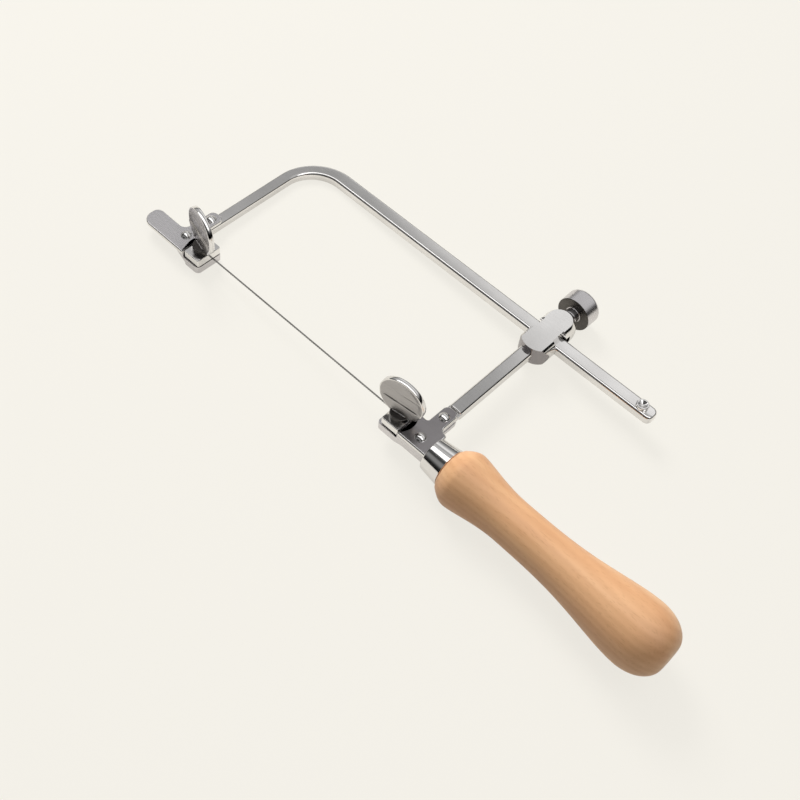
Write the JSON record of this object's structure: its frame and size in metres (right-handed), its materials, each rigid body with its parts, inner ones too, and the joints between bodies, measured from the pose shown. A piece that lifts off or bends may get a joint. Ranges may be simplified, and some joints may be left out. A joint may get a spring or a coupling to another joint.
{
  "type": "fret saw",
  "caption": "Adjustable fret saw: plated steel bow sliding in a lock block, riveted blade clamps with thumb leaf screws, turned beech handle.",
  "frame": {"origin": "on the blade's middle line where it leaves the handle-side jaws, in the middle plane of the bow", "axes": "+X along the blade from the nose to the handle, +Y from the blade to the spine, +Z out of the frame on the side of the wing screws"},
  "size_m": [0.279, 0.1191, 0.0393],
  "materials": {
    "plated_steel": "polished",
    "satin_plate": "satin",
    "dark_steel": "satin",
    "pressed_leaf": "satin",
    "spring_steel": "satin",
    "beech": "satin varnish"
  },
  "bodies": {
    "handle_frame": {"handle": "beech", "ferrule": "plated_steel", "rear_fixed_jaw": "satin_plate", "rear_cover_plate": "satin_plate", "rear_arm": "plated_steel", "rear_arm_rivet": "plated_steel", "rear_hub_rivet": "plated_steel", "slider_block": "plated_steel", "saw_blade": "spring_steel"},
    "bow": {"bow_bar": "plated_steel", "stop_pin": "plated_steel", "front_fixed_jaw": "satin_plate", "front_cover_plate": "satin_plate", "front_arm_rivet": "plated_steel", "front_hub_rivet": "plated_steel"},
    "front_jaw": {"front_loose_jaw": "satin_plate"},
    "front_wing": {"front_wing_screw": "dark_steel", "front_wing_leaf": "pressed_leaf"},
    "rear_jaw": {"rear_loose_jaw": "satin_plate"},
    "rear_wing": {"rear_wing_screw": "dark_steel", "rear_wing_leaf": "pressed_leaf"},
    "lock_shoe": {"pressure_shoe": "dark_steel"},
    "lock": {"lock_screw": "dark_steel", "lock_knob": "plated_steel"}
  },
  "joints": [
    {"name": "bow_slide", "type": "slide", "parent": "handle_frame", "child": "bow", "axis": [1, 0, 0], "range_m": [-0.0415, 0.09]},
    {"name": "front_jaw_lift", "type": "slide", "parent": "bow", "child": "front_jaw", "axis": [0, 0, 1], "range_m": [0, 0.0018]},
    {"name": "front_wing_turn", "type": "hinge", "parent": "front_jaw", "child": "front_wing", "pos_m": [-0.1103, -0.0017, 0.0038], "axis": [0, 0, 1], "range_deg": [0, 900]},
    {"name": "rear_jaw_lift", "type": "slide", "parent": "handle_frame", "child": "rear_jaw", "axis": [0, 0, 1], "range_m": [0, 0.0018]},
    {"name": "rear_wing_turn", "type": "hinge", "parent": "rear_jaw", "child": "rear_wing", "pos_m": [0.0043, -0.0022, 0.0038], "axis": [0, 0, 1], "range_deg": [0, 900]},
    {"name": "lock_shoe_slide", "type": "slide", "parent": "handle_frame", "child": "lock_shoe", "axis": [0, 1, 0], "range_m": [0, 0.00128]},
    {"name": "lock_turn", "type": "hinge", "parent": "lock_shoe", "child": "lock", "pos_m": [0.0172, 0.085, 0], "axis": [0, 1, 0], "range_deg": [0, 540]}
  ],
  "couplings": [
    {"joint": "front_jaw_lift", "follows": "front_wing_turn", "m_per_rad": 0.00011141},
    {"joint": "rear_jaw_lift", "follows": "rear_wing_turn", "m_per_rad": 0.00011141},
    {"joint": "lock_shoe_slide", "follows": "lock_turn", "m_per_rad": 0.00012732}
  ]
}
